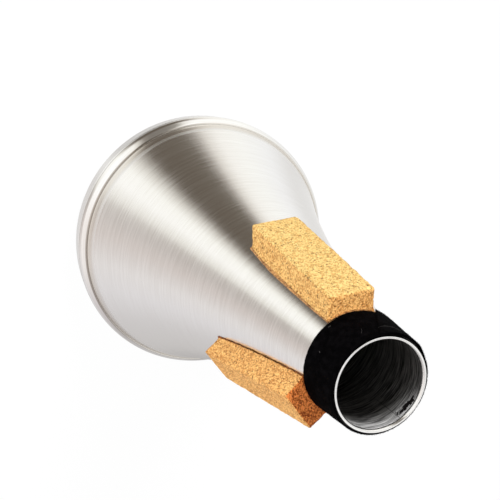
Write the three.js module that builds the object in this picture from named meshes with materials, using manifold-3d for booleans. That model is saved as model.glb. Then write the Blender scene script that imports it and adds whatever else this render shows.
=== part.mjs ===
// Straight mute for a trumpet: a spun aluminium cone closed by a spun cap, with a flocked sleeve on its
// neck and three cork pads that seat in the instrument's bell.
// Millimetres, +Z up. The mute stands on the flat bottom of its cap with its mouth up, and the origin is
// the centre of that bottom. The first cork pad lies over +X.
import * as THREE from 'three';
import { mergeVertices } from 'three/addons/utils/BufferGeometryUtils.js';
import Module from 'manifold-3d';

const wasm = await Module();
wasm.setup();

// Overall sizes
const muteLength = 168;
const mouthRadius = 13.5;
const neckLength = 15.2;
const neckRootRadius = 14.8;
const beadOverhang = 2.7;
const widestRadius = 52.7;
const bodyHollow = 4.115;
const shellWall = 0.85;

// Cap: how deep it is below its widest line, its folded bead, its corner and the line rolled round it
const capDepth = 14;
const beadHeight = 6;
const beadEdgeGap = 0.3;
const capCorner = 5.5;
const capDraft = 0.5;
const rolledLineWidth = 0.6;
const rolledLineDepth = 0.25;

// Mouth lip and the skirt of the cone inside the cap
const lipFlat = 0.65;
const lipBevelLength = 1.2;
const lipBevelDepth = 0.25;
const skirtLength = 5;
const skirtTipGap = 0.8;

// Glue films, and the gap kept at each face where two pieces meet
const filmThickness = 0.2;
const seatGap = 0.12;
const glueSqueeze = 0.4;

// Neck sleeve: one strip of flocked cloth wrapped round, its outer end lapped over its inner end
const clothThickness = 0.6;
const sleeveSetBack = 0.7;
const sleeveFilmInset = 0.6;
const lapStartDegrees = -52.7;
const lapFrontDegrees = 52;
const lapBackDegrees = 27;
const lapRampDegrees = 20;

// Cork pads
const padCount = 3;
const padLength = 48.2;
const padFrontThickness = 6.05;
const padBackThickness = 5.15;
const padFrontWidth = 13.7;
const padBackWidth = 14.2;
const padFrontSpread = 0.1;
const padBackSpread = 1.3;
const padFrontLean = 1.6;
const padBackLean = 1.5;
// The pads are cut and placed by hand, so each has a width, a twist and a gap to the sleeve of its own
const padSleeveGaps = [1.8, 0.9, 1.3];
const padFrontWidthShares = [1.02, 0.98, 1];
const padBackWidthShares = [1.11, 0.9, 1];
const padTwistDegrees = [1.3, 0.5, -0.6];
// Each side line of a pad's block is carried on past the base by this share, for the cone to cut
const padBelowShare = 1.6;

// Smoothness: sides of a full turn, and steps along each curve
const turnSides = 48;
const bodySteps = 12;
const beadSteps = 5;
const cornerSteps = 4;
const stripSteps = 60;
const stripSpans = 4;

// Heights and the seam radius that follow from those sizes
const neckRootZ = muteLength - neckLength;
const seamZ = capDepth + beadHeight;
const seamRadius = widestRadius - beadOverhang;
const bodyLength = neckRootZ - seamZ;
const skirtEndZ = capDepth - skirtLength;
const fullTurn = 2 * Math.PI;

const degrees = THREE.MathUtils.degToRad;
const v2 = (r, z) => new THREE.Vector2(r, z);

// Outer radius of the metal at a height: a straight neck, then a cone hollowed by a parabola
function metalRadius(z) {
  if (z >= neckRootZ) {
    const share = (muteLength - z) / neckLength;
    return mouthRadius + (neckRootRadius - mouthRadius) * share;
  }
  const share = (neckRootZ - z) / bodyLength;
  const straight = neckRootRadius + (seamRadius - neckRootRadius) * share;
  return straight - bodyHollow * 4 * share * (1 - share);
}

// Outline moved sideways by a distance: each point goes along the mean normal of its two neighbours
function offsetOutline(points, distance) {
  return points.map((point, i) => {
    const before = points[Math.max(i - 1, 0)];
    const after = points[Math.min(i + 1, points.length - 1)];
    const along = after.clone().sub(before).normalize();
    return v2(point.x + along.y * distance, point.y - along.x * distance);
  });
}

// Outline of the neck and body from the mouth down to the seam, on the outer face
function coneOutline() {
  const points = [v2(metalRadius(muteLength), muteLength)];
  for (let i = 0; i <= bodySteps; i += 1) {
    const z = neckRootZ - (bodyLength * i) / bodySteps;
    points.push(v2(metalRadius(z), z));
  }
  return points;
}

function material(color, roughness, metalness) {
  return new THREE.MeshStandardMaterial({ color, roughness, metalness });
}

const brushedAluminium = () => material(0xc9c6c2, 0.38, 1);
const clothBlack = () => material(0x0b0a0c, 0.95, 0);
const corkTan = () => material(0xd79a52, 0.9, 0);
const contactGlue = () => material(0x5a2f14, 0.5, 0);
const seamGlue = () => material(0x8f8a7c, 0.5, 0);

function piece(name, geometry, finish) {
  const mesh = new THREE.Mesh(geometry, finish);
  mesh.name = name;
  return mesh;
}

// Ring or shell turned round Z from an outline that closes on itself, or a solid whose ends lie on Z
function turned(points, closed) {
  const outline = closed ? [...points, points[0].clone()] : points;
  return new THREE.LatheGeometry(outline, turnSides).rotateX(Math.PI / 2);
}

// Solids for cutting: a welded copy of a geometry as a manifold, and a manifold back as a geometry
function solidOf(geometry) {
  const bare = geometry.clone();
  bare.deleteAttribute('normal');
  bare.deleteAttribute('uv');
  const welded = mergeVertices(bare);
  return new wasm.Manifold(new wasm.Mesh({
    numProp: 3,
    vertProperties: new Float32Array(welded.attributes.position.array),
    triVerts: new Uint32Array(welded.index.array),
  }));
}

function geometryOf(solid) {
  const mesh = solid.getMesh();
  const geometry = new THREE.BufferGeometry();
  geometry.setAttribute('position', new THREE.BufferAttribute(mesh.vertProperties, 3));
  geometry.setIndex(new THREE.BufferAttribute(mesh.triVerts, 1));
  geometry.computeVertexNormals();
  return geometry;
}

// Folded bead of the cap as a quarter ellipse, from an edge at the seam out to the widest line. The faces
// nested inside it, down to the inner face of the cone's shoulder, are the same curve set further in.
const beadEdgeRadius = metalRadius(seamZ) + beadEdgeGap;
const beadTopZ = seamZ - beadEdgeGap;
function beadOutline(inset, edgeRadius) {
  const points = [];
  for (let i = 0; i <= beadSteps; i += 1) {
    const turn = (Math.PI / 2) * (i / beadSteps);
    const r = edgeRadius + (widestRadius - inset - edgeRadius) * Math.sin(turn);
    const z = capDepth + (beadTopZ - inset - capDepth) * Math.cos(turn);
    points.push(v2(r, z));
  }
  return points;
}

// Outer radius of the cap wall below its widest line, where it draws in a little
function capWallRadius(z) {
  return widestRadius - capDraft * ((capDepth - z) / (capDepth - capCorner));
}

// Cap wall below the bead: it runs down to its rounded corner, then flat to the axis
function capWallOutline(inset) {
  const footRadius = capWallRadius(capCorner) - inset;
  const corner = capCorner - inset;
  const points = [];
  for (let i = 0; i <= cornerSteps; i += 1) {
    const turn = (Math.PI / 2) * (i / cornerSteps);
    points.push(v2(footRadius - corner + corner * Math.cos(turn), capCorner - corner * Math.sin(turn)));
  }
  return [...points, v2(0, inset)];
}

// End cap: a spun bowl whose bead folds over the cone's shoulder and holds it
function endCap() {
  const line = capDepth - rolledLineWidth;
  const outside = [
    ...beadOutline(0, beadEdgeRadius),
    v2(widestRadius - rolledLineDepth, capDepth - rolledLineWidth / 2),
    v2(widestRadius, line),
    ...capWallOutline(0),
  ];
  const inside = [...beadOutline(shellWall, beadEdgeRadius), ...capWallOutline(shellWall)];
  return piece('end_cap', turned([...outside.reverse(), ...inside], false), brushedAluminium());
}

// Skirt of the cone: past the seam the wall shoulders out under the bead, then runs on inside the cap
const skirtInset = shellWall + filmThickness + 2 * seatGap;
function skirtOutline(inset, seamPoint) {
  return [...beadOutline(inset, seamPoint.x), v2(capWallRadius(skirtEndZ) - inset, skirtEndZ)];
}

// Cone shell: neck, body and skirt spun as one wall, with a flat lip and a bevel inside it
function coneShell() {
  const body = coneOutline();
  const bodyInside = offsetOutline(body, shellWall);
  const outside = [...body, ...skirtOutline(skirtInset, body[body.length - 1])];
  const skirtInside = skirtOutline(skirtInset + shellWall, bodyInside[bodyInside.length - 1]);
  const lipInner = mouthRadius - lipFlat;
  const lip = [
    v2(lipInner, muteLength),
    v2(lipInner - lipBevelDepth, muteLength - lipBevelLength),
  ];
  const outline = [...lip, ...bodyInside.slice(1), ...skirtInside, ...outside.reverse()];
  return piece('cone_shell', turned(outline, true), brushedAluminium());
}

// Bead of seam glue between the skirt and the cap wall
function seamBead() {
  const inner = (z) => capWallRadius(z) - skirtInset + seatGap;
  const outer = (z) => capWallRadius(z) - shellWall - seatGap;
  const top = capDepth - rolledLineWidth;
  const foot = skirtEndZ + skirtTipGap;
  const outline = [v2(inner(foot), foot), v2(outer(foot), foot), v2(outer(top), top), v2(inner(top), top)];
  return piece('seam_glue', turned(outline, true), seamGlue());
}

// Film that holds the sleeve on the neck
function sleeveFilm() {
  const top = muteLength - sleeveSetBack - sleeveFilmInset;
  const foot = neckRootZ + sleeveFilmInset;
  const inner = (z) => metalRadius(z) + seatGap;
  const outer = (z) => inner(z) + filmThickness;
  const outline = [v2(inner(foot), foot), v2(outer(foot), foot), v2(outer(top), top), v2(inner(top), top)];
  return piece('sleeve_glue', turned(outline, true), contactGlue());
}

// How far the strip is lifted off the neck at an angle along it: it ramps up to lie over its own start
function stripLift(angle) {
  const rise = (angle - (fullTurn - degrees(lapRampDegrees))) / degrees(lapRampDegrees);
  return (clothThickness + seatGap) * THREE.MathUtils.clamp(rise, 0, 1);
}

// Neck sleeve: rings across the strip are walked round the neck, each up its outer face and back down
// its inner face, and the two ends are closed. Past a full turn the strip's front edge runs on further
// than its back edge, because its outer end is cut at a slant.
function neckSleeve() {
  const frontZ = muteLength - sleeveSetBack;
  const backTurn = fullTurn + degrees(lapBackDegrees);
  const slant = degrees(lapFrontDegrees - lapBackDegrees);
  const positions = [];
  const place = (step, span, lift) => {
    const across = span / stripSpans;
    const z = THREE.MathUtils.lerp(neckRootZ, frontZ, across);
    const walked = backTurn * (step / stripSteps);
    const pastTurn = Math.max(walked - fullTurn, 0) / degrees(lapBackDegrees);
    const angle = walked + slant * pastTurn * across;
    const r = metalRadius(z) + 2 * seatGap + filmThickness + stripLift(angle) + lift;
    const a = degrees(lapStartDegrees) + angle;
    positions.push(r * Math.cos(a), r * Math.sin(a), z);
  };
  for (let step = 0; step <= stripSteps; step += 1) {
    for (let span = 0; span <= stripSpans; span += 1) place(step, span, clothThickness);
    for (let span = stripSpans; span >= 0; span -= 1) place(step, span, 0);
  }
  const ring = 2 * (stripSpans + 1);
  const index = [];
  const quad = (a, b, c, d) => index.push(a, b, c, a, c, d);
  for (let step = 0; step < stripSteps; step += 1) {
    for (let k = 0; k < ring; k += 1) {
      const a = step * ring + k;
      const b = step * ring + ((k + 1) % ring);
      quad(a, a + ring, b + ring, b);
    }
  }
  const last = stripSteps * ring;
  for (let outer = 0; outer < stripSpans; outer += 1) {
    const inner = ring - 1 - outer;
    quad(inner, outer, outer + 1, inner - 1);
    quad(last + inner, last + inner - 1, last + outer + 1, last + outer);
  }
  const geometry = new THREE.BufferGeometry();
  geometry.setAttribute('position', new THREE.Float32BufferAttribute(positions, 3));
  geometry.setIndex(index);
  geometry.computeVertexNormals();
  return piece('neck_sleeve', geometry, clothBlack());
}

// One end of a pad as it would be before the cone is cut out of it: two corners on the outer face, and
// two on the lines from there through the base, carried on below the metal
function padEnd(baseZ, lean, thickness, halfOuter, spread) {
  const outerZ = baseZ + lean;
  const outerX = metalRadius(outerZ) + thickness;
  const halfBase = halfOuter + spread;
  const baseX = Math.sqrt(metalRadius(baseZ) ** 2 - halfBase ** 2);
  const deepX = THREE.MathUtils.lerp(outerX, baseX, padBelowShare);
  const deepHalf = THREE.MathUtils.lerp(halfOuter, halfBase, padBelowShare);
  const deepZ = THREE.MathUtils.lerp(outerZ, baseZ, padBelowShare);
  return [
    [outerX, -halfOuter, outerZ], [outerX, halfOuter, outerZ],
    [deepX, deepHalf, deepZ], [deepX, -deepHalf, deepZ],
  ];
}

// Solid block of a pad over +X, front end nearest the mouth: the cork itself, or grown for its glue
function padBlock(number, grow) {
  const frontZ = neckRootZ - padSleeveGaps[number];
  const backZ = frontZ - padLength;
  const halfFront = (padFrontWidth * padFrontWidthShares[number]) / 2 + grow;
  const halfBack = (padBackWidth * padBackWidthShares[number]) / 2 + grow;
  const front = padEnd(frontZ + grow, padFrontLean, padFrontThickness, halfFront, padFrontSpread);
  const back = padEnd(backZ - grow, -padBackLean, padBackThickness, halfBack, padBackSpread);
  const geometry = new THREE.BufferGeometry();
  geometry.setAttribute('position', new THREE.Float32BufferAttribute([...front, ...back].flat(), 3));
  const corners = front.length;
  const index = [0, 1, 2, 0, 2, 3, 4, 6, 5, 4, 7, 6];
  for (let k = 0; k < corners; k += 1) {
    const next = (k + 1) % corners;
    index.push(k, k + corners, next + corners, k, next + corners, next);
  }
  geometry.setIndex(index);
  const middleZ = (frontZ + backZ) / 2;
  geometry.translate(0, 0, -middleZ);
  geometry.rotateX(degrees(padTwistDegrees[number]));
  geometry.translate(0, 0, middleZ);
  return solidOf(geometry);
}

// Solid body of the metal cone, grown by a distance, as a cutter under the pads
function coneCutter(distance) {
  const outline = offsetOutline(coneOutline(), -distance);
  const top = v2(0, outline[0].y);
  const foot = v2(0, outline[outline.length - 1].y);
  return solidOf(turned([foot, ...outline.reverse(), top], false));
}

// Cork pad hollowed to the cone, and the film of glue under it, turned to their place round the neck
function padGroup(number) {
  const cork = padBlock(number, 0).subtract(coneCutter(filmThickness + 2 * seatGap));
  const film = padBlock(number, glueSqueeze)
    .intersect(coneCutter(filmThickness + seatGap))
    .subtract(coneCutter(seatGap));
  const group = new THREE.Group();
  group.add(piece(`cork_pad_${number + 1}`, geometryOf(cork), corkTan()));
  group.add(piece(`pad_glue_${number + 1}`, geometryOf(film), contactGlue()));
  group.rotation.z = (fullTurn * number) / padCount;
  return group;
}

const mute = new THREE.Group();
mute.add(coneShell(), endCap(), seamBead(), sleeveFilm(), neckSleeve());
for (let number = 0; number < padCount; number += 1) {
  mute.add(padGroup(number));
}

export default mute;
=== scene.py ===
# Straight mute for a trumpet: spun aluminium cone and cap, flocked neck sleeve and three cork pads.
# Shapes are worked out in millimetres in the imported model's frame: the mute stands on its cap, its mouth
# is up +Z, and the first cork pad lies over +X.
import math

import bmesh
import bpy
import numpy as np
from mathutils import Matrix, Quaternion, Vector


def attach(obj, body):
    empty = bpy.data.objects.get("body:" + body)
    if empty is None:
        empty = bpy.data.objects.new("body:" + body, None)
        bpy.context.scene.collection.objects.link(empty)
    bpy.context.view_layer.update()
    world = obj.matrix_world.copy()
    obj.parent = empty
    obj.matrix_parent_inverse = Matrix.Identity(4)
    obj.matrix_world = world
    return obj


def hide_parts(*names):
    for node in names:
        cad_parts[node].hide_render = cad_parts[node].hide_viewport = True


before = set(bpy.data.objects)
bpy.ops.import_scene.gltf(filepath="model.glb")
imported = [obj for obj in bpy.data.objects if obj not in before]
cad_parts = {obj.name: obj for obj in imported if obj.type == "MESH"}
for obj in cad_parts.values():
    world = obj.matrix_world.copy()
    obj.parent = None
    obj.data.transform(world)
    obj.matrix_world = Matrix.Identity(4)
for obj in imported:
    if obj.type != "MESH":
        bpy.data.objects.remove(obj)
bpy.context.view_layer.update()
scene = bpy.context.scene
scene.view_settings.view_transform = "Standard"


# The view: a camera high above the standing mute, on the side that its first two pads face. It is rolled
# about its line of sight, so that the mute lies across the picture with its mouth at the lower right.
picture_side = 500
focal_pixels = 850
sensor_width = 36
camera_place = np.array([101.953, 94.575, 346.716])
camera_aim = np.array([13.858, 2.003, 78.752])
camera_roll = math.radians(125.723)
metres = 0.001

camera_data = bpy.data.cameras.new("view_camera")
camera_data.sensor_width = sensor_width
camera_data.lens = sensor_width * focal_pixels / picture_side
camera_data.clip_start = 0.01
camera = bpy.data.objects.new("view_camera", camera_data)
camera.location = Vector(camera_place * metres)
camera.rotation_mode = "QUATERNION"
line_of_sight = Vector(camera_aim - camera_place)
camera.rotation_quaternion = line_of_sight.to_track_quat("-Z", "Y") @ Quaternion((0, 0, 1), camera_roll)
scene.collection.objects.link(camera)
scene.camera = camera


# Cone shell: one wall of aluminium about 0.85 mm thick, spun over a former from neck to skirt and then
# brushed with the mute turning, so that every fine line runs round the axis. It is left bare. Its mouth
# ends in a bright flat lip with a fine turned line, and its shoulder runs down inside the cap as a skirt.
mute_length = 168
mouth_radius = 13.5
neck_root_z = 152.8
neck_root_radius = 14.8
seam_z = 20
seam_radius = 50
body_hollow = 4.115
shell_wall = 0.85
widest_radius = 52.7
cap_depth = 14
bead_top_z = 19.7
skirt_end_z = 9
skirt_inset = 1.29
cap_corner = 5.5
cap_draft = 0.5
lip_flat = 0.65
lip_bevel_depth = 0.25
lip_bevel_length = 1.2
lip_corner = 0.13
lip_chamfer = 0.33
lip_chamfer_depth = 0.85
lip_line = 0.08
cove_depth = 0.06
cove_middle_z = 21.8
cove_width = 1.15
fillet_foot_z = 19.72
fillet_reach = 0.27
fillet_height = 0.25
bead_foot_z = 15.1


def metal_radius(z):
    """Outer radius of the metal at a height: a straight line up the neck, and below the neck's root a
    straight line out to the seam, hollowed by a parabola that is deepest halfway."""
    neck = mouth_radius + (neck_root_radius - mouth_radius) * (mute_length - z) / (mute_length - neck_root_z)
    share = (neck_root_z - z) / (neck_root_z - seam_z)
    straight = neck_root_radius + (seam_radius - neck_root_radius) * share
    return np.where(z >= neck_root_z, neck, straight - body_hollow * 4 * share * (1 - share))


def bead_curve(inset, edge_radius, steps):
    """Quarter ellipse from the seam's edge out to the widest line: the radius grows with the sine of the
    turn and the height falls with its cosine. A nested face is the same curve set further in."""
    turn = np.linspace(0, np.pi / 2, steps)
    r = edge_radius + (widest_radius - inset - edge_radius) * np.sin(turn)
    z = cap_depth + (bead_top_z - inset - cap_depth) * np.cos(turn)
    return np.column_stack([r, z])


def arc(centre, radius, first, last, steps):
    """Points of a circle's arc between two angles in degrees, counted from the outward direction."""
    turn = np.radians(np.linspace(first, last, steps))
    return np.column_stack([centre[0] + radius * np.cos(turn), centre[1] + radius * np.sin(turn)])


def turned(profile, sides, loop):
    """Surface of revolution about Z: each profile point (r, z) is carried round as (r cos a, r sin a, z).
    A loop profile closes on itself, and an open one has both ends on the axis."""
    count = len(profile)
    a = np.linspace(0, 2 * np.pi, sides, endpoint=False)[:, None]
    r, z = profile[:, 0], profile[:, 1]
    points = np.stack([r * np.cos(a), r * np.sin(a), z + 0 * a], axis=-1).reshape(-1, 3)
    side = np.arange(sides)[:, None]
    k = np.arange(count if loop else count - 1)[None, :]
    here, there = side * count, (side + 1) % sides * count
    after = (k + 1) % count
    faces = np.stack([here + k, there + k, there + after, here + after], axis=-1).reshape(-1, 4)
    return points, faces


def made_piece(name, points, faces, materials, node=None, kinds=None, skin=None):
    """Mesh object from points in millimetres and faces, with its poles welded and its faces outward. It
    rides on the one rigid body, takes a material slot and may stand for a node of the solids. Kinds are
    the faces' material numbers, and skin is a value at each point that a material may read."""
    mesh = bpy.data.meshes.new(name)
    mesh.from_pydata((points * metres).tolist(), [], faces.tolist())
    for material in materials:
        mesh.materials.append(material)
    if kinds is not None:
        mesh.polygons.foreach_set("material_index", np.asarray(kinds, dtype=np.int32))
    if skin is not None:
        mesh.attributes.new("skin", "FLOAT", "POINT").data.foreach_set("value", skin.astype(np.float32))
    weld = bmesh.new()
    weld.from_mesh(mesh)
    bmesh.ops.remove_doubles(weld, verts=weld.verts, dist=1e-7)
    bmesh.ops.recalc_face_normals(weld, faces=weld.faces)
    weld.to_mesh(mesh)
    weld.free()
    mesh.polygons.foreach_set("use_smooth", np.ones(len(mesh.polygons), bool))
    made = bpy.data.objects.new(name, mesh)
    scene.collection.objects.link(made)
    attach(made, "root")
    if node:
        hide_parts(node)
    return made


class Wire:
    """An output of a node in a material. Sums, differences and products of wires and numbers add Math
    nodes, and every other node comes from the method node."""

    def __init__(self, tree, socket=None):
        self.tree = tree
        self.socket = socket

    def node(self, kind, settings=None, values=None, output=0):
        """Adds a node of a kind. Its settings are set first, a ramp's stops among them, and then its
        sockets take numbers, colours or wires."""
        made = self.tree.nodes.new(kind)
        for key, value in (settings or {}).items():
            if key == "stops":
                ramp = made.color_ramp
                while len(ramp.elements) < len(value):
                    ramp.elements.new(1)
                for element, (position, colour) in zip(ramp.elements, value):
                    element.position = position
                    element.color = (*colour, 1)
            else:
                setattr(made, key, value)
        for key, value in (values or {}).items():
            if isinstance(value, Wire):
                self.tree.links.new(value.socket, made.inputs[key])
            else:
                made.inputs[key].default_value = value
        return Wire(self.tree, made.outputs[output])

    def calc(self, operation, *others):
        """One Math node of this wire and up to two more values."""
        values = dict(enumerate([self, *others]))
        return self.node("ShaderNodeMath", {"operation": operation}, values)

    def between(self, low, high):
        """0 at low, 1 at high and a smooth step between them; low may lie above high."""
        span = {"Value": self, "From Min": min(low, high), "From Max": max(low, high)}
        step = self.node("ShaderNodeMapRange", {"interpolation_type": "SMOOTHSTEP"}, span)
        return step if low < high else 1 - step

    def __add__(self, other):
        return self.calc("ADD", other)

    def __sub__(self, other):
        return self.calc("SUBTRACT", other)

    def __mul__(self, other):
        return self.calc("MULTIPLY", other)

    def __rsub__(self, other):
        return self.node("ShaderNodeMath", {"operation": "SUBTRACT"}, {0: other, 1: self})

    __radd__ = __add__
    __rmul__ = __mul__

    def tint(self, first, second, blend="MIX"):
        """Mixes two colours with this wire as the factor."""
        settings = {"data_type": "RGBA", "blend_type": blend}
        return self.node("ShaderNodeMix", settings, {0: self, 6: first, 7: second}, output=2)

    def vector(self, operation, *others, output=0):
        """One Vector Math node of this wire and other vectors."""
        values = dict(enumerate([self, *others]))
        return self.node("ShaderNodeVectorMath", {"operation": operation}, values, output)

    def scaled(self, factor):
        """This vector times a number."""
        return self.node("ShaderNodeVectorMath", {"operation": "SCALE"}, {0: self, "Scale": factor})

    def part(self, axis):
        """One component of this vector, 0 for X, 1 for Y and 2 for Z."""
        return self.node("ShaderNodeSeparateXYZ", None, {0: self}, output=axis)

    def noise(self, scale, detail=2.0, roughness=0.5):
        """Noise on this vector, about 0.5 in the middle."""
        values = {"Vector": self, "Scale": scale, "Detail": detail, "Roughness": roughness}
        return self.node("ShaderNodeTexNoise", None, values)


def paint(name):
    """A new material, and its point on the object in millimetres as the wire to start from."""
    material = bpy.data.materials.new(name)
    material.use_nodes = True
    start = Wire(material.node_tree)
    return material, start.node("ShaderNodeTexCoord", output=3).scaled(1 / metres)


def dress(material, **sockets):
    """Sets or links the Principled shader's sockets; an underscore in a name stands for a space."""
    tree = material.node_tree
    shader = tree.nodes["Principled BSDF"]
    for key, value in sockets.items():
        socket = shader.inputs[key.replace("_", " ")]
        if isinstance(value, Wire):
            tree.links.new(value.socket, socket)
        else:
            socket.default_value = value


def round_the_axis(point):
    """Direction from the axis to a point as a level unit vector, which has no seam as an angle has."""
    return point.vector("MULTIPLY", (1, 1, 0)).vector("NORMALIZE")


def facing(point, direction):
    """How far a point's side of the axis faces a level direction: 1 straight at it and -1 away from it."""
    return round_the_axis(point).vector("DOT_PRODUCT", direction, output=1)


def within(height, foot, full_foot, full_top, top):
    """1 between the two inner heights, falling smoothly to 0 at the foot and at the top."""
    return height.between(foot, full_foot) * height.between(top, full_top)


def brush_lines(point, reach, pitch, detail):
    """Noise drawn out into lines that run round the axis: slow along the turn and fast along Z. Reach says
    how often a line begins in a turn, and pitch is the lines' spacing in millimetres."""
    spread = round_the_axis(point).scaled(reach)
    height = point.vector("MULTIPLY", (0, 0, 1 / pitch))
    return spread.vector("ADD", height).noise(1, detail)


def leaned(point, tilt):
    """The surface's normal, leaned round the axis by a small amount."""
    axis_and_side = {0: (0, 0, 1), 1: round_the_axis(point)}
    along = point.node("ShaderNodeVectorMath", {"operation": "CROSS_PRODUCT"}, axis_and_side)
    normal = point.node("ShaderNodeNewGeometry", output=1)
    return normal.vector("ADD", along.scaled(tilt)).vector("NORMALIZE")


def brushed_metal():
    """Bare aluminium brushed round the axis: hair lines and broader ones change its grey, its gloss and its
    tilt, and a few tiny nicks show dark. A painted shade darkens the cove above the seam, where the bead
    shades the cone, and a darker painted shade lies in the seam and below the bead on the first two pads'
    side. The bead itself is polished and smoother."""
    material, point = paint("brushed_aluminium")
    hair = brush_lines(point, 2.6, 0.30, 3)
    line = brush_lines(point, 1.8, 0.60, 2)
    band = brush_lines(point, 0.5, 3.0, 2)
    cloud = point.noise(0.035)
    grey = hair * 0.86 + line * 0.10 + band * 0.04
    pale = grey.between(0.34, 0.66).tint((0.910, 0.898, 0.882, 1), (0.970, 0.965, 0.955, 1))
    cells = {"Vector": point, "Scale": 0.16, "Randomness": 1}
    nick = point.node("ShaderNodeTexVoronoi", {"feature": "F1"}, cells)
    nicked = nick.between(0.042, 0.02) * point.noise(0.05, 0).between(0.5, 0.6)
    height = point.part(2)
    bead_rim_z = bead_top_z - 0.1
    # Painted shade: the cove above the seam is darkened and warmed a little, where the bead shades the cone.
    cove_painted_shade = within(height, bead_rim_z - 0.2, bead_rim_z, cove_middle_z - 1.0, cove_middle_z + 2.2)
    colour = cove_painted_shade.tint(pale, (0.86, 0.83, 0.79, 1), "MULTIPLY")
    # Painted shade on the first two pads' side only: a dark band just under the bead and a darker line in
    # the seam's crevice.
    bead_foot_painted_shade = within(height, bead_foot_z - 0.5, bead_foot_z - 0.3, bead_foot_z, bead_foot_z + 0.3)
    seam_painted_shade = within(height, bead_rim_z - 0.25, bead_rim_z, seam_z - 0.05, seam_z + 0.15)
    near_side = facing(point, (0.42, 0.91, 0)).between(0.25, 0.85)
    colour = (bead_foot_painted_shade * near_side * 0.7).tint(colour, (0.50, 0.48, 0.45, 1), "MULTIPLY")
    colour = (seam_painted_shade * near_side * 0.55).tint(colour, (0.30, 0.26, 0.22, 1), "MULTIPLY")
    colour = (nicked * 0.5).tint(colour, (0.95, 0.95, 0.95, 1))
    on_bead = within(height, bead_foot_z - 0.2, bead_foot_z + 0.2, bead_rim_z, bead_rim_z + 0.06)
    grain = point.noise(2.6, 2).between(0.46, 0.64)
    cove_top_z = cove_middle_z + 0.8
    scuffed = within(height, cove_top_z - 1.0, cove_top_z, cove_top_z + 0.8, cove_top_z + 2.0)
    tilt = (hair - 0.5) * 0.009 + (line - 0.5) * 0.002 + (band - 0.5) * 0.002
    brushed_rough = hair.between(0.38, 0.62) * 0.05 + cloud * 0.05 + scuffed * 0.20 + nicked * 0.4 + 0.142
    bead_rough = grain * 0.14 + 0.07
    rough = on_bead.node("ShaderNodeMix", None, {0: on_bead, 2: brushed_rough, 3: bead_rough})
    upward = point.node("ShaderNodeCombineXYZ", None, {2: on_bead * 0.2})
    normal = leaned(point, tilt).vector("ADD", upward)
    dress(material, Base_Color=colour, Metallic=1.0, Roughness=rough, Normal=normal.vector("NORMALIZE"))
    dress(material, Anisotropic=0.75, Anisotropic_Rotation=0.25)
    return material


smear_azimuth = math.radians(-138)
smear_z = 165.2
scratch_azimuth = math.radians(-153.6)


def throat_metal():
    """The unbrushed inside: duller metal with rings left by the spinning tool. Its colour holds painted
    light and shade: dark deeper in, and bright and less metallic near the lip on the side away from the
    first pad. It has a lengthwise scratch and, just inside the lip, a ragged smear of black contact cement."""
    material, point = paint("spun_inside")
    ring = brush_lines(point, 2.4, 0.27, 3)
    wide = brush_lines(point, 1.4, 1.7, 3)
    tone = ring * 0.84 + wide * 0.16
    height = point.part(2)
    # Painted light and shade: the tone is bright and less metallic near the lip on one side, where light
    # comes in at the mouth, and dark deeper in.
    painted_light_side = facing(point, (-0.97, 0.26, 0)).between(-0.6, 0.8)
    deepest_side = facing(point, (-0.5, 0.87, 0))
    lip_painted_light = (height + deepest_side * 2.0).between(157.5, 168.5) * painted_light_side
    deep = tone.between(0.40, 0.62).tint((0.04, 0.038, 0.036, 1), (0.36, 0.35, 0.34, 1))
    bright = tone.between(0.40, 0.60).tint((0.20, 0.195, 0.19, 1), (1.0, 0.99, 0.98, 1))
    colour = lip_painted_light.tint(deep, bright)
    ragged = point.noise(0.85, 4, 0.6)

    def beside(azimuth):
        """Distance in millimetres to the left or right of an azimuth."""
        across = (-math.sin(azimuth), math.cos(azimuth), 0)
        return point.vector("DOT_PRODUCT", across, output=1)

    def on_side(azimuth):
        """1 on the azimuth's side of the axis and 0 on the other."""
        toward = (math.cos(azimuth), math.sin(azimuth), 0)
        return point.vector("DOT_PRODUCT", toward, output=1).between(0, 1)

    off = beside(smear_azimuth)
    drop = height - smear_z - off * 0.20
    spread = off * off * 0.13 + drop * drop * 0.8 + (ragged - 0.5) * 8.0
    smear = spread.between(1.05, 0.98) * on_side(smear_azimuth)
    aside = beside(scratch_azimuth).calc("ABSOLUTE")
    scratch = aside.between(0.16, 0.05) * on_side(scratch_azimuth) * height.between(151, 154)
    colour = (scratch * 0.7).tint(colour, (0.05, 0.05, 0.05, 1))
    colour = smear.tint(colour, (0.008, 0.007, 0.007, 1))
    rough = smear * 0.15 + ring * 0.2 + 0.36
    tilt = (ring - 0.5) * 0.12 + (wide - 0.5) * 0.06
    metallic = (1 - smear) * (1 - lip_painted_light * 0.85)
    dress(material, Base_Color=colour, Metallic=metallic, Roughness=rough, Normal=leaned(point, tilt))
    dress(material, Anisotropic=0.7, Anisotropic_Rotation=0.25, Specular_IOR_Level=0.1)
    return material


brushed = brushed_metal()
inside_metal = throat_metal()

body_z = np.concatenate([np.linspace(mute_length - 2 * lip_corner, neck_root_z, 16)[:-1],
                         np.linspace(neck_root_z, 26, 90)[:-1], np.linspace(26, seam_z, 40)])
outer_z = np.concatenate([body_z, np.linspace(seam_z, fillet_foot_z, 4)[1:]])
cove = cove_depth * np.exp(-(((outer_z - cove_middle_z) / cove_width) ** 2))
fillet = fillet_reach * np.exp(-(((outer_z - fillet_foot_z) / fillet_height) ** 2))
outer_body = np.column_stack([np.minimum(metal_radius(outer_z), seam_radius) - cove + fillet, outer_z])
slope = np.gradient(metal_radius(body_z), body_z)
inner_z = body_z[1:]
inner_body = np.column_stack([metal_radius(inner_z) - shell_wall * np.hypot(1, slope[1:]), inner_z])
inner_body = inner_body[inner_z < mute_length - 1.5 * lip_bevel_length]
lip_top = arc((mouth_radius - lip_corner, mute_length - lip_corner), lip_corner, 90, -30, 6)[:-1]
lip_foot = mouth_radius - lip_flat - lip_bevel_depth
flat_start = lip_foot + lip_chamfer
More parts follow.
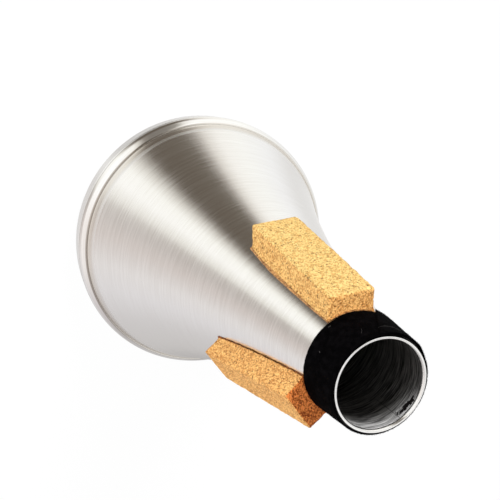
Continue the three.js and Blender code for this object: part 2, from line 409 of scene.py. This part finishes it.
lip_edge = np.array([[lip_foot, mute_length - lip_chamfer_depth], [flat_start, mute_length],
                     [flat_start + lip_line, mute_length],
                     [flat_start + 2 * lip_line, mute_length - lip_line],
                     [flat_start + 3 * lip_line, mute_length]])
bevel_foot = np.array([[lip_foot, mute_length - lip_bevel_length]])
skirt_inner_inset = skirt_inset + shell_wall
foot_radius = widest_radius - cap_draft * (cap_depth - skirt_end_z) / (cap_depth - cap_corner)
outer_skirt = np.vstack([bead_curve(skirt_inset, seam_radius, 10),
                         [[foot_radius - skirt_inset, skirt_end_z]]])
inner_edge = inner_body[-1, 0]
inner_skirt = np.vstack([bead_curve(skirt_inner_inset, inner_edge, 10),
                         [[foot_radius - skirt_inner_inset, skirt_end_z]]])
outside = np.vstack([lip_edge, lip_top, outer_body, outer_skirt])
inside = np.vstack([bevel_foot, inner_body, inner_skirt])
cone_profile = np.vstack([outside, inside[::-1]])
shell_sides = 288
cone_points, cone_faces = turned(cone_profile, shell_sides, loop=True)
is_inside = np.arange(len(cone_profile)) >= len(outside) - 1
made_piece("cone", cone_points, cone_faces, [brushed, inside_metal], "cone_shell",
           kinds=np.tile(is_inside, shell_sides))


# End cap: a shallow bowl of the same aluminium, spun separately. Its rim is folded into a round bead over
# the cone's shoulder, a fine line is rolled in below the bead, and the flat bottom is what it stands on.
rolled_line_width = 0.6
rolled_line_depth = 0.25
bead_edge_radius = 50.3

foot = widest_radius - cap_draft
line_turn = np.linspace(0, np.pi, 9)[1:-1]
rolled_line = np.column_stack([widest_radius - rolled_line_depth * np.sin(line_turn),
                               cap_depth - rolled_line_width * line_turn / np.pi])
wall = np.column_stack([np.linspace(widest_radius, foot, 10),
                        np.linspace(cap_depth - rolled_line_width, cap_corner, 10)])
corner = arc((foot - cap_corner, cap_corner), cap_corner, 0, -90, 20)[1:]
flat_radii = np.linspace(foot - cap_corner, 0, 14)[1:]
bottom = np.column_stack([flat_radii, 0 * flat_radii])
outer_cap = np.vstack([bead_curve(0, bead_edge_radius, 26), rolled_line, wall, corner, bottom])
inner_corner = arc((foot - cap_corner, cap_corner), cap_corner - shell_wall, 0, -90, 12)
inner_bottom = np.column_stack([flat_radii, 0 * flat_radii + shell_wall])
inner_cap = np.vstack([bead_curve(shell_wall, bead_edge_radius, 14), inner_corner, inner_bottom])
cap_profile = np.vstack([outer_cap[::-1], inner_cap])
cap_points, cap_faces = turned(cap_profile, shell_sides, loop=False)
is_inside = np.arange(len(cap_profile) - 1) >= len(outer_cap)
made_piece("cap", cap_points, cap_faces, [brushed, inside_metal], "end_cap",
           kinds=np.tile(is_inside, shell_sides))


# Seam glue and the films of contact cement: cured glue that stays out of sight in the seam and under the
# sleeve. It shows as a thin line squeezed out round each cork pad, full of cork crumbs round the first and
# the third and plain brown round the second, where it darkens almost to black as a painted shade along the
# pad's base. The solids themselves are kept.
def glue(name, dark, light, shine=0.5):
    """Cured glue: a mottled colour between two given ones, uneven gloss and small lumps. Shine is how
    strongly it mirrors."""
    material, point = paint(name)
    mottle = point.noise(1.3, 4)
    lumps = point.noise(2.2, 3)
    bump = point.node("ShaderNodeBump", None, {"Strength": 0.5, "Distance": 0.0002, "Height": lumps})
    colour = mottle.between(0.3, 0.7).tint((*dark, 1), (*light, 1))
    dress(material, Base_Color=colour, Roughness=lumps * 0.3 + 0.25, Normal=bump, Specular_IOR_Level=shine)
    return material


crumbed_glue = glue("crumbed_glue", (0.16, 0.055, 0.015), (0.72, 0.38, 0.13))
dark_glue = glue("sleeve_cement", (0.004, 0.003, 0.002), (0.012, 0.008, 0.006))
# Brown glue whose dark end is a painted shade: the second pad's glue line darkens almost to black, standing
# for the shade at the pad's base.
brown_glue_and_shade = glue("brown_glue_and_shade", (0.035, 0.008, 0.002), (0.36, 0.11, 0.025), shine=0.1)
pale_glue = glue("seam_glue", (0.30, 0.27, 0.20), (0.42, 0.39, 0.32))
for node_name, finish in [("seam_glue", pale_glue), ("sleeve_glue", dark_glue), ("pad_glue_1", crumbed_glue),
                          ("pad_glue_2", brown_glue_and_shade), ("pad_glue_3", crumbed_glue)]:
    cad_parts[node_name].data.materials.clear()
    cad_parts[node_name].data.materials.append(finish)


# Neck sleeve: one strip of black flocked cloth, glued round the neck so that it fits the instrument's bell
# without rattling. Its outer end, cut at a slant, laps over its start, and one corner of it has lifted. The
# strip sits a little askew, so that its front edge lies nearer the lip on one side.
seat_gap = 0.12
film_thickness = 0.2
cloth_gap = seat_gap + film_thickness + 0.02
cloth_thickness = 0.36
lap_gap = 0.05
sleeve_front_z = mute_length - 0.30
sleeve_slant = 0.40
sleeve_high_side = math.radians(43)
lap_start = math.radians(-52.7)
lap_front = math.radians(52)
lap_back = math.radians(27)
lap_ramp = math.radians(20)
corner_lift = 0.55
cut_round = 0.15
edge_jitter = 0.11


def lattice_noise(points, size, seed):
    """Smooth noise from -1 to 1: hashed values on a cubic lattice of the given size, blended between the
    eight corners round each point with a smooth step."""
    q = points / size + np.array([12.7, 5.3, 8.9]) * seed
    cell = np.floor(q)
    f = q - cell
    f = f * f * (3 - 2 * f)
    total = np.zeros(len(points))
    for corner in np.ndindex(2, 2, 2):
        hashed = np.sin((cell + corner) @ np.array([12.9898, 78.233, 37.719]) + seed) * 43758.5453
        weight = np.prod(np.where(corner, f, 1 - f), axis=1)
        total += weight * (2 * (hashed - np.floor(hashed)) - 1)
    return total


def uneven(points, seed, *swings):
    """Sum of lattice noises, each given by its height and its size in millimetres. Their seeds count up."""
    return sum(height * lattice_noise(points, size, seed + k) for k, (height, size) in enumerate(swings))


def sleeve_point(walked, across, depth):
    """A point of the strip. Walked is the angle along its back edge and across goes from its back edge, 0,
    to its front edge, 1. Past a full turn the front edge runs further, because the end is cut at a slant.
    The front edge also leans by the cosine of the turn from its high side. Depth goes from the inner face,
    0, to the flocked face, 1, and the strip ramps up over its own start by a smooth step."""
    past = np.clip((walked - 2 * np.pi) / lap_back, 0, 1)
    angle = walked + (lap_front - lap_back) * past * across
    rise = np.clip((angle - (2 * np.pi - lap_ramp)) / lap_ramp, 0, 1)
    rise = rise * rise * (3 - 2 * rise)
    front_z = sleeve_front_z + sleeve_slant * np.cos(lap_start + angle - sleeve_high_side)
    z = neck_root_z + (front_z - neck_root_z) * across
    lifted = corner_lift * past ** 3 * np.clip(1 - across * 2.5, 0, 1) ** 2
    r = metal_radius(z) + cloth_gap + (cloth_thickness + lap_gap) * rise + lifted
    return r + depth * cloth_thickness, lap_start + angle, z


def tube_faces(rings, around):
    """Squares between neighbouring rings of points, each ring closed on itself."""
    step, k = np.arange(rings - 1)[:, None] * around, np.arange(around)[None, :]
    after = (k + 1) % around
    corners = [step + k, step + around + k, step + around + after, step + after]
    return np.stack(corners, axis=-1).reshape(-1, 4)


def flocked_strip(steps, spans, rounds):
    """Carries the strip's cross-section along it. The section is a loop: the flocked face from back to
    front, a rounded front edge, the inner face back, and a rounded back edge. At both cut ends the loop
    is squeezed to its middle line, which closes them."""
    width = sleeve_front_z - neck_root_z
    turn = np.linspace(0, np.pi, rounds + 2)[1:-1]
    edge = cut_round / width
    face = np.linspace(edge, 1 - edge, spans)
    across = np.concatenate([face, 1 - edge + edge * np.sin(turn), face[::-1], edge - edge * np.sin(turn)])
    depth = np.concatenate([face * 0 + 1, (1 + np.cos(turn)) / 2, face * 0, (1 - np.cos(turn)) / 2])
    full = 2 * np.pi + lap_back
    tip = np.array([0, 0.003, 0.012])
    walked = np.concatenate([tip, np.linspace(0.03, full - 0.03, steps), full - tip[::-1]])[:, None]
    squeeze = np.clip(np.minimum(walked, full - walked) / tip[-1], 0, 1) ** 0.5
    r, a, z = sleeve_point(walked, across[None, :], 0.5 + (depth[None, :] - 0.5) * squeeze)
    z = z + 0 * a
    base = np.stack([r * np.cos(a), r * np.sin(a), z], axis=-1).reshape(-1, 3)
    fuzz = uneven(base, 3, (0.035, 0.45), (0.05, 2.0))
    r = r + fuzz.reshape(r.shape) * (0.5 + (depth - 0.5) * squeeze)
    at_edge = (np.abs(across - 0.5) * 2) ** 12
    z = z + uneven(base, 5, (edge_jitter, 0.6)).reshape(r.shape) * at_edge
    points = np.stack([r * np.cos(a), r * np.sin(a), z], axis=-1).reshape(-1, 3)
    ring = len(across)
    return points, tube_faces(len(walked), ring)


def flock(count):
    """Short fibres that stand out of the flocked face: each is a three-sided spike whose base lies on the
    face and whose tip leans off along a random direction. Half of them crowd at the strip's edges, and
    lean out over these."""
    sunk, girth, shortest, longest, spread, edge_lean = 0.05, 0.028, 0.14, 0.42, 0.45, 0.9
    draw = np.random.default_rng(11)
    walked = draw.uniform(0.02, 2 * np.pi + lap_back - 0.01, count)
    side = draw.uniform(0, 1, count)
    side = np.where(np.arange(count) % 2, side, np.round(side) + (0.5 - np.round(side)) * 0.03)
    r, a, z = sleeve_point(walked, side, 1.0)
    out = np.column_stack([np.cos(a), np.sin(a), 0 * a])
    root = out * (r - sunk)[:, None] + np.column_stack([0 * a, 0 * a, z])
    lean = draw.normal(0, spread, (count, 3))
    lean[:, 2] += np.where(side > 0.97, edge_lean, np.where(side < 0.03, -edge_lean, 0.0))
    way = out + lean
    way /= np.linalg.norm(way, axis=1)[:, None]
    tip = root + way * draw.uniform(shortest, longest, count)[:, None]
    one = np.cross(way, [0.3, 0.5, 0.81])
    one *= girth / np.linalg.norm(one, axis=1)[:, None]
    two = np.cross(way, one)
    corners = np.stack([root + one, root - one / 2 + two * 0.87, root - one / 2 - two * 0.87, tip], axis=1)
    index = np.arange(count)[:, None, None] * 4 + np.array([[0, 2, 1], [0, 1, 3], [1, 2, 3], [2, 0, 3]])
    return corners.reshape(-1, 3), index.reshape(-1, 3)


def flocked_cloth():
    """Black flock on a woven strip: a dense short pile with faint thin places, all but black, that shows a
    little grey where light grazes it."""
    material, point = paint("flocked_cloth")
    pile = point.noise(5.5, 3)
    worn = point.noise(0.5, 3)
    colour = worn.between(0.35, 0.75).tint((0.0006, 0.0005, 0.0007, 1), (0.0024, 0.0021, 0.0025, 1))
    bump = point.node("ShaderNodeBump", None, {"Strength": 0.8, "Distance": 0.0002, "Height": pile})
    dress(material, Base_Color=colour, Roughness=pile * 0.1 + 0.88, Normal=bump, Specular_IOR_Level=0.02)
    return material


cloth = flocked_cloth()
strip_points, strip_faces = flocked_strip(420, 26, 4)
sleeve = made_piece("sleeve", strip_points, strip_faces, [cloth], "neck_sleeve")
fibre_points, fibre_faces = flock(9000)
pile_piece = made_piece("sleeve_flock", fibre_points, fibre_faces, [cloth])


# Lint: a few pale threads and specks of dust, caught in the flock and held by nothing else. Each is a short
# bent fibre, thin against the pile round it.
def thread(path, radius, sides=5):
    """Tube along a path given as angle in degrees, height and lift off the metal. A smooth step blends each
    point of the path into the next, and the tube tapers to nothing at both ends."""
    path = np.array(path, float)
    t = np.linspace(0, len(path) - 1, 8 * (len(path) - 1) + 1)
    near = np.minimum(t.astype(int), len(path) - 2)
    share = (t - near)[:, None]
    share = share * share * (3 - 2 * share)
    degree, z, lift = (path[near] * (1 - share) + path[near + 1] * share).T
    a = np.radians(degree)
    r = metal_radius(z) + lift
    line = np.column_stack([r * np.cos(a), r * np.sin(a), z])
    way = np.gradient(line, axis=0)
    way /= np.linalg.norm(way, axis=1)[:, None]
    out = np.column_stack([np.cos(a), np.sin(a), 0 * a])
    across = np.cross(way, out)
    turn = np.linspace(0, 2 * np.pi, sides, endpoint=False)
    girth = radius * np.sin(np.linspace(0, np.pi, len(t)))[:, None, None] ** 0.5
    ring = np.cos(turn)[None, :, None] * across[:, None, :] + np.sin(turn)[None, :, None] * out[:, None, :]
    points = (line[:, None, :] + girth * ring).reshape(-1, 3)
    return points, tube_faces(len(t), sides)


cloth_top = cloth_gap + cloth_thickness
lap_top = cloth_top + cloth_thickness + lap_gap
threads = [
    thread([(-5.0, 164.9, lap_top + 0.15), (-14, 164.2, lap_top + 0.15), (-23, 164.6, lap_top + 0.2),
            (-31, 165.4, lap_top + 0.1)], 0.022),
    thread([(31, 154.2, cloth_top + 0.1), (29.5, 154.6, cloth_top + 0.15), (28, 154.3, cloth_top + 0.05)],
           0.03),
    thread([(56.3, 158.3, cloth_top + 0.06), (55.6, 158.0, cloth_top + 0.12),
            (55.2, 157.6, cloth_top + 0.05)], 0.05),
    thread([(13, 164.4, cloth_top + 0.05), (10, 163.4, cloth_top + 0.10), (9, 162.2, cloth_top + 0.05)],
           0.02),
]
counts = np.cumsum([0] + [len(points) for points, faces in threads])
thread_points = np.vstack([points for points, faces in threads])
thread_faces = np.vstack([faces + start for (points, faces), start in zip(threads, counts)])
lint, lint_point = paint("lint")
dust = lint_point.noise(1.5).between(0.3, 0.7).tint((0.06, 0.055, 0.05, 1), (0.20, 0.19, 0.18, 1))
dress(lint, Base_Color=dust, Roughness=0.9)
made_piece("sleeve_lint", thread_points, thread_faces, [lint])


# Cork pads: three blocks of pressed cork granules, knife-cut by hand, hollowed to the cone and glued on 120
# degrees apart. They wedge in the bell. Their cut faces are grainy, with dark bark specks and small voids.
pad_length = 48.2
pad_front = {"thickness": 6.05, "width": 13.7, "spread": 0.1, "lean": 1.6}
pad_back = {"thickness": 5.15, "width": 14.2, "spread": 1.3, "lean": -1.5}
pad_sleeve_gaps = [1.8, 0.9, 1.3]
pad_front_shares = [1.02, 0.98, 1]
pad_back_shares = [1.11, 0.9, 1]
pad_twists = [1.3, 0.5, -0.6]
below_share = 1.6
pad_steps = (130, 36, 20)
rim_clearance = 0.14
pressed_share = 0.16
pressed_reach = 0.32
pressed_end = 0.3
edge_wear = 0.62
base_wear_share = 0.4
void_depth = 0.9
crumble_depth = 0.20
pad_size = np.array([50.0, 14.0, 5.5])
# A skin of -1 marks the second pad's front end for the cork's painted shade.
pad_skins = [(1.0, 0.5, 0.15), (0.25, 0.0, -1.0), (1.0, 0.3, 0.3)]


def box_skin(steps):
    """The outer points of a lattice of whole numbers, and the squares between them, all facing out."""
    grids, quads, count = [], [], 0
    for axis in range(3):
        one, two = (axis + 1) % 3, (axis + 2) % 3
        i, j = np.meshgrid(np.arange(steps[one] + 1), np.arange(steps[two] + 1), indexing="ij")
        for end in (0, steps[axis]):
            at = np.empty(i.shape + (3,), int)
            at[..., axis], at[..., one], at[..., two] = end, i, j
            number = np.arange(i.size).reshape(i.shape) + count
            square = np.stack([number[:-1, :-1], number[1:, :-1], number[1:, 1:], number[:-1, 1:]], axis=-1)
            quads.append((square if end else square[..., ::-1]).reshape(-1, 4))
            grids.append(at.reshape(-1, 3))
            count += i.size
    points, number = np.unique(np.vstack(grids), axis=0, return_inverse=True)
    return points, number.reshape(-1)[np.vstack(quads)]


def pad_lines(number, along, across):
    """For each place on a pad's outer face, the point there and the point where its side line would come
    out below the metal. Both ends are worked out and joined by straight lines."""
    front_z = neck_root_z - pad_sleeve_gaps[number]
    ends = []
    for shape, z, share in [(pad_front, front_z, pad_front_shares[number]),
                            (pad_back, front_z - pad_length, pad_back_shares[number])]:
        half = shape["width"] * share / 2
        half_base = half + shape["spread"]
        outer = np.array([metal_radius(z + shape["lean"]) + shape["thickness"], half, z + shape["lean"]])
        base = np.array([math.sqrt(metal_radius(z) ** 2 - half_base ** 2), half_base, z])
        ends.append((outer, outer + (base - outer) * below_share))
    side = np.column_stack([0 * across + 1, 2 * across - 1, 0 * across + 1])
    share = along[:, None]
    outer = (ends[0][0] * (1 - share) + ends[1][0] * share) * side
    deep = (ends[0][1] * (1 - share) + ends[1][1] * share) * side
    twist = math.radians(pad_twists[number])
    middle = np.array([0, 0, front_z - pad_length / 2])
    cosine, sine = math.cos(twist), math.sin(twist)
    turn = np.array([[1, 0, 0], [0, cosine, -sine], [0, sine, cosine]])
    return (outer - middle) @ turn.T + middle, (deep - middle) @ turn.T + middle


def cork_block(number):
    """A pad as a lattice box whose edges are rounded unevenly, laid between the outer face and the cone
    under it, which each line finds by halving. Each point then moves along the surface's own normal by
    grain, crumbled edges and voids, and the sides bulge out beside the cone, where the pad was pressed
    into its glue. The outer face, the sides and the front end get their own numbers for the colour."""
    lattice, faces = box_skin(pad_steps)
    p = lattice / np.array(pad_steps) * pad_size
    seed = number * 5 + 1
    worn = edge_wear + uneven(p, seed, (0.32, 1.6), (0.18, 0.7))
    worn = np.clip(worn, 0.18, 1.2) * np.where(p[:, 2] < 1, base_wear_share, 1.0)
    core = np.clip(p, worn[:, None], pad_size - worn[:, None])
    out = p - core
    p = core + out / np.linalg.norm(out, axis=1)[:, None] * worn[:, None]
    share = p / pad_size
    outer, deep = pad_lines(number, share[:, 0], share[:, 1])
    low, high = np.zeros(len(p)), np.ones(len(p))
    ends = (lattice == 0) | (lattice == np.array(pad_steps))
    rim = ends[:, 0] | ends[:, 1]
    clear = np.where(rim, rim_clearance, film_thickness + 2 * seat_gap)
    for _ in range(30):
        middle = (low + high) / 2
        at = outer + (deep - outer) * middle[:, None]
        above = np.hypot(at[:, 0], at[:, 1]) > metal_radius(at[:, 2]) + clear
        low, high = np.where(above, middle, low), np.where(above, high, middle)
    base = outer + (deep - outer) * low[:, None]
    points = base + (outer - base) * share[:, 2:]
    a, b, c, d = (points[faces[:, k]] for k in range(4))
    square = np.cross(c - a, d - b)
    normal = np.zeros_like(points)
    for k in range(4):
        np.add.at(normal, faces[:, k], square)
    normal /= np.linalg.norm(normal, axis=1)[:, None]
    grain = uneven(points, seed + 2, (0.07, 0.9), (0.05, 0.45))
    void = np.clip(lattice_noise(points, 1.1, seed + 4) - 0.55, 0, 1) * void_depth
    crumble = np.clip(1 - share[:, 2] * 5, 0, 1) * uneven(points, seed + 6, (crumble_depth, 0.8))
    inside_base = ends[:, 2] & (lattice[:, 2] == 0) & ~rim
    move = np.where(inside_base, 0, grain - void + crumble)
    points = points + normal * move[:, None]
    sideways = (share - 0.5) * 2 * (ends * [pressed_end, 1, 0])
    pressed = np.clip(1 - share[:, 2] / pressed_share, 0, 1)
    pressed *= pressed_reach + uneven(p, seed + 7, (crumble_depth, 0.8))
    pressed *= np.clip((1 - share[:, 0]) * 12, 0.15, 1)
    points[:, 1] += sideways[:, 1] * pressed
    points[:, 2] -= sideways[:, 0] * pressed
    azimuth = 2 * np.pi * number / 3
    cosine, sine = math.cos(azimuth), math.sin(azimuth)
    turn = np.array([[cosine, -sine, 0], [sine, cosine, 0], [0, 0, 1]])
    outer_skin, side_skin, front_skin = pad_skins[number]
    skin = np.where(lattice[:, 0] == 0, front_skin, side_skin)
    skin = np.where(lattice[:, 2] == pad_steps[2], outer_skin, skin)
    return points @ turn.T, faces, skin


def pressed_cork():
    """Pressed cork: fine granules, each its own tan and some of them ruddy, with brown bark specks and voids
    between them. The knife-cut outer face is paler and more golden than the sides, and the second pad's
    front end is darkened as a painted shade, for the neck's shadow on it."""
    material, point = paint("pressed_cork")
    skin = point.node("ShaderNodeAttribute", {"attribute_name": "skin"}, output=2)
    sway = point.node("ShaderNodeTexNoise", None, {"Vector": point, "Scale": 1.6, "Detail": 2}, 1)
    bent = point.vector("ADD", sway.scaled(0.4))
    cells = {"Vector": bent, "Scale": 2.8, "Randomness": 1}
    own = bent.node("ShaderNodeTexVoronoi", {"feature": "F1"}, cells, 1)
    fine = point.noise(4.2, 4, 0.8)
    broad = point.noise(0.35, 2)
    shade = (own.part(0) * 0.42 + fine * 0.46 + broad * 0.12).between(0.30, 0.68)
    golden = shade.tint((0.46, 0.250, 0.068, 1), (0.82, 0.625, 0.243, 1))
    orange = shade.tint((0.41, 0.158, 0.038, 1), (0.90, 0.54, 0.188, 1))
    painted_shade_front = shade.tint((0.20, 0.038, 0.006, 1), (0.80, 0.25, 0.060, 1))
    colour = skin.between(0.2, 0.9).tint(orange, golden)
    ruddy = own.part(1).between(0.55, 0.95) * skin.between(-0.9, -0.3)
    colour = (ruddy * 0.30).tint(colour, (0.78, 0.30, 0.060, 1))
    # Painted shade: the second pad's front end, which the neck shades, is darkened.
    colour = skin.between(-0.3, -0.9).tint(colour, painted_shade_front)
    seam = point.noise(5.0, 3, 0.6).between(0.55, 0.63)
    colour = (seam * 0.22).tint(colour, (0.36, 0.13, 0.028, 1))

    def bark(size, spread, share):
        """Small ragged flecks in some of the cells of a Voronoi pattern."""
        flecks = {"Vector": bent, "Scale": size, "Randomness": 1}
        reach = bent.node("ShaderNodeTexVoronoi", {"feature": "F1"}, flecks) + (fine - 0.5) * 0.5
        cell_colour = bent.node("ShaderNodeTexVoronoi", {"feature": "F1"}, flecks, 1)
        chosen = cell_colour.part(1).between(share, share + 0.04)
        return reach.between(spread, spread - 0.10) * chosen

    dark = bark(1.0, 0.32, 0.84).calc("MAXIMUM", bark(1.9, 0.44, 0.86))
    colour = (dark * 0.9).tint(colour, (0.085, 0.022, 0.006, 1))
    height = fine * 0.5 - seam * 0.3 - dark * 0.9 + own.part(2) * 0.3
    bump = point.node("ShaderNodeBump", None, {"Strength": 0.5, "Distance": 0.00018, "Height": height})
    dress(material, Base_Color=colour, Roughness=fine * 0.15 + 0.78, Normal=bump, Specular_IOR_Level=0.25)
    return material


cork = pressed_cork()
for number in range(3):
    cork_points, cork_faces, cork_skin = cork_block(number)
    made_piece(f"cork_{number + 1}", cork_points, cork_faces, [cork], f"cork_pad_{number + 1}",
               skin=cork_skin)


# The studio: a white floor that takes the mute's shadow, four soft lamps, and a surround of white screens
# and dark cards for the metal to mirror. The cone, which mirrors what lies low, sees one ring of them, and
# the bead and the lip, which mirror what lies high, see another.
floor_size = 6000
floor_points = np.array([[-1, -1, 0], [1, -1, 0], [1, 1, 0], [-1, 1, 0]]) * (floor_size / 2)
floor_mesh = bpy.data.meshes.new("floor")
floor_mesh.from_pydata((floor_points * metres).tolist(), [], [(0, 1, 2, 3)])
floor = bpy.data.objects.new("floor", floor_mesh)
scene.collection.objects.link(floor)
floor.visible_glossy = False
floor_paint, floor_point = paint("white_floor")
dress(floor_paint, Base_Color=(0.95, 0.95, 0.95, 1), Roughness=0.9, Specular_IOR_Level=0.1)
tree = floor_paint.node_tree
seen = floor_point.node("ShaderNodeLightPath", output=0)
glow = floor_point.node("ShaderNodeEmission", None, {"Color": (1, 1, 1, 1), "Strength": 1.0})
paper = Wire(tree, tree.nodes["Principled BSDF"].outputs[0])
both = floor_point.node("ShaderNodeMixShader", None, {0: seen * 0.95, 1: paper, 2: glow})
tree.links.new(both.socket, tree.nodes["Material Output"].inputs["Surface"])
floor_mesh.materials.append(floor_paint)

world = bpy.data.worlds.new("studio")
scene.world = world
world.use_nodes = True
sky = Wire(world.node_tree)
way = sky.node("ShaderNodeTexCoord", output=0)
bearing = way.part(1).calc("ARCTAN2", way.part(0)) * (0.5 / math.pi) + 0.5


def on_ramp(degree):
    """The place of a bearing in degrees on a ramp that goes once round."""
    return (degree + 180) / 360


def at(degree, red, green, blue):
    """A ramp's stop: the place of a bearing and its colour."""
    return on_ramp(degree), (red, green, blue)


def about(degree, far, near):
    """1 within near degrees of a bearing, falling smoothly to 0 at far degrees."""
    return (bearing - on_ramp(degree)).calc("ABSOLUTE").between(far / 360, near / 360)


screens = bearing.node("ShaderNodeValToRGB", {"stops": [
    at(-180, 0.60, 0.58, 0.57), at(-152, 0.35, 0.335, 0.33), at(-130, 0.92, 0.91, 0.90),
    at(-86, 0.80, 0.79, 0.775), at(-68, 0.95, 0.95, 0.95), at(-45, 1.00, 1.00, 0.96),
    at(-31, 0.97, 0.95, 0.90), at(-22, 0.73, 0.69, 0.63), at(-16, 0.31, 0.275, 0.24),
    at(-10, 0.145, 0.122, 0.097), at(5, 0.130, 0.107, 0.083), at(18, 0.122, 0.100, 0.078),
    at(23, 0.30, 0.27, 0.235), at(29, 0.70, 0.67, 0.61), at(36, 1.00, 0.99, 0.93),
    at(47, 1.03, 1.02, 0.98), at(57, 0.84, 0.82, 0.76), at(64, 0.55, 0.51, 0.47),
    at(71, 0.52, 0.475, 0.445), at(85, 0.64, 0.58, 0.55), at(106, 0.78, 0.75, 0.74),
    at(125, 0.76, 0.74, 0.75), at(150, 0.65, 0.63, 0.63), at(180, 0.60, 0.58, 0.57)]}, {0: bearing})
upper = bearing.node("ShaderNodeValToRGB", {"stops": [
    at(-180, 0.58, 0.57, 0.57), at(-166, 0.46, 0.45, 0.45), at(-150, 0.33, 0.32, 0.32),
    at(-120, 0.80, 0.80, 0.79), at(-64, 0.93, 0.93, 0.91), at(-42, 1.08, 1.08, 1.05),
    at(-15, 1.08, 1.07, 1.04), at(-10, 0.90, 0.87, 0.81), at(-5, 0.34, 0.32, 0.28),
    at(1, 0.24, 0.22, 0.195), at(12, 0.21, 0.19, 0.165), at(17, 0.30, 0.27, 0.24),
    at(21, 0.72, 0.69, 0.63), at(25, 1.02, 1.00, 0.95), at(39, 1.08, 1.08, 1.07),
    at(60, 1.08, 1.07, 1.05), at(81, 0.95, 0.90, 0.87), at(107, 0.90, 0.86, 0.84),
    at(132, 0.62, 0.58, 0.58), at(153, 0.50, 0.48, 0.48), at(180, 0.58, 0.57, 0.57)]}, {0: bearing})
rise = way.part(2)
screens = rise.between(-0.50, -0.38).tint(screens, upper)
dark_card = about(-20, 30, 18) * rise.between(0.80, 0.93)
screens = dark_card.tint(screens, (0.13, 0.11, 0.09, 1))
lip_screen = about(-134, 60, 35) * rise.between(0.60, 0.80)
screens = lip_screen.tint(screens, (1.10, 1.10, 1.09, 1))
table_glow = rise.between(-0.87, -0.985) * 0.85
screens = table_glow.tint(screens, (0.79, 0.78, 0.77, 1))
soft_light = (0.42, 0.42, 0.43, 1)
mirrored = sky.node("ShaderNodeLightPath", output=3).tint(soft_light, screens)
around = sky.node("ShaderNodeLightPath", output=0).tint(mirrored, (1, 1, 1, 1))
background = world.node_tree.nodes["Background"]
world.node_tree.links.new(around.socket, background.inputs["Color"])
background.inputs["Strength"].default_value = 1.0


def soft_lamp(name, place, aim, width, power):
    """A square area lamp at a place, turned to face a point, with its size in millimetres and its power in
    watts. It lights the scene but isn't mirrored."""
    data = bpy.data.lights.new(name, "AREA")
    data.size = width * metres
    data.energy = power
    lamp = bpy.data.objects.new(name, data)
    lamp.location = Vector(place) * metres
    lamp.rotation_mode = "QUATERNION"
    lamp.rotation_quaternion = (Vector(aim) - Vector(place)).to_track_quat("-Z", "Y")
    lamp.visible_glossy = False
    scene.collection.objects.link(lamp)


soft_lamp("fill_lamp", (200, 900, 120), (0, 0, 110), 300, 2.35)
soft_lamp("high_lamp", (280, 290, 1060), (0, 0, 150), 500, 5.4)
soft_lamp("mouth_lamp", (740, -345, 820), (0, 0, 150), 400, 8.6)
soft_lamp("side_lamp", (-500, 800, 160), (0, 0, 120), 500, 2.6)
